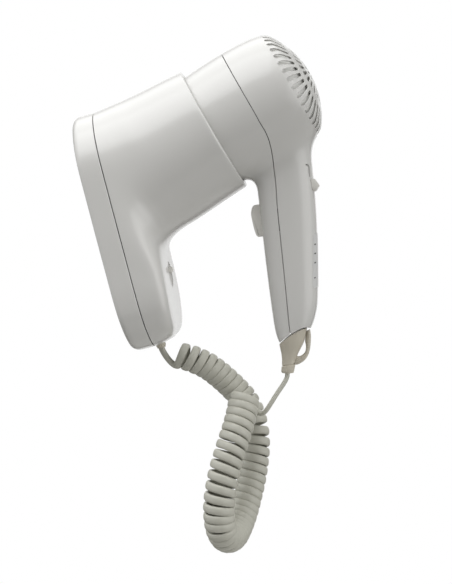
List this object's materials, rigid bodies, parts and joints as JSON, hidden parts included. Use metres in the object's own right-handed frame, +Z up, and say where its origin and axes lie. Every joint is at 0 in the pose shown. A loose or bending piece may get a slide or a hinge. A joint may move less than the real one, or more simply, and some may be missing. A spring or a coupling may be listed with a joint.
{
  "type": "hair dryer",
  "caption": "Wall-mounted hair dryer: a pistol-grip handset resting in the hood of a wall holder, joined to it by a curly cord.",
  "frame": {"origin": "middle of the wall plate's back face, which lies against the wall", "axes": "+X points out of the wall, +Z is up along the wall, +Y completes the right-handed frame; the holder and handset are symmetric about y = 0"},
  "size_m": [0.1733, 0.098, 0.3479],
  "materials": {
    "white_shell": "smooth gloss white ABS",
    "white_inner": "plain white moulding",
    "screen": "fine pale mesh",
    "label": "satin printed label",
    "ivory_pvc": "satin ivory PVC",
    "cord_pvc": "satin grey-white PVC",
    "dark_plastic": "black moulding",
    "steel": "zinc-plated steel",
    "bronze": "sintered bronze and copper wire",
    "mica": "pressed mica board"
  },
  "bodies": {
    "holder": {"wall_plate": "white_shell", "holder_housing": "white_shell", "hood_liner": "white_inner", "base_switch": "dark_plastic", "terminal_block": "dark_plastic", "supply_clamp": "white_inner", "holder_screws": "steel", "cord_gland": "ivory_pvc", "cord_lead": "cord_pvc", "cord_coil": "cord_pvc", "cord_tail": "cord_pvc"},
    "base_knob": {"base_knob": "white_shell"},
    "handset": {"front_shell": "white_shell", "rear_shell": "white_shell", "inlet_grille": "white_shell", "lint_screen": "screen", "outlet_grille": "dark_plastic", "fan_duct": "dark_plastic", "motor_can": "steel", "motor_bearings": "bronze", "heat_sleeve": "mica", "heater_frame": "mica", "heater_coils": "steel", "thermostat": "steel", "thermal_fuse": "steel", "trigger_switch": "dark_plastic", "mode_switch": "dark_plastic", "label_plate": "label", "handle_clamp": "white_inner", "shell_screws": "steel", "strain_relief": "ivory_pvc"},
    "rotor": {"fan": "dark_plastic", "motor_shaft": "steel", "armature": "bronze"},
    "trigger": {"trigger": "white_shell"},
    "mode_knob": {"mode_knob": "white_shell"}
  },
  "joints": [
    {"name": "handset_pull", "type": "slide", "parent": "holder", "child": "handset", "axis": [0.9659, 0, 0.2588], "range_m": [0, 0.07]},
    {"name": "base_slide", "type": "slide", "parent": "holder", "child": "base_knob", "axis": [0.0819, 0, 0.9966], "range_m": [-0.009, 0.003]},
    {"name": "rotor_spin", "type": "hinge", "parent": "handset", "child": "rotor", "pos_m": [0.0955, 0, 0.0525], "axis": [0.9659, 0, 0.2588], "continuous": true},
    {"name": "trigger_press", "type": "slide", "parent": "handset", "child": "trigger", "axis": [0.9898, 0, -0.1426], "range_m": [0, 0.003], "stiffness_N_per_m": 600},
    {"name": "mode_slide", "type": "slide", "parent": "handset", "child": "mode_knob", "axis": [0.1616, 0, 0.9869], "range_m": [0, 0.012]}
  ]
}
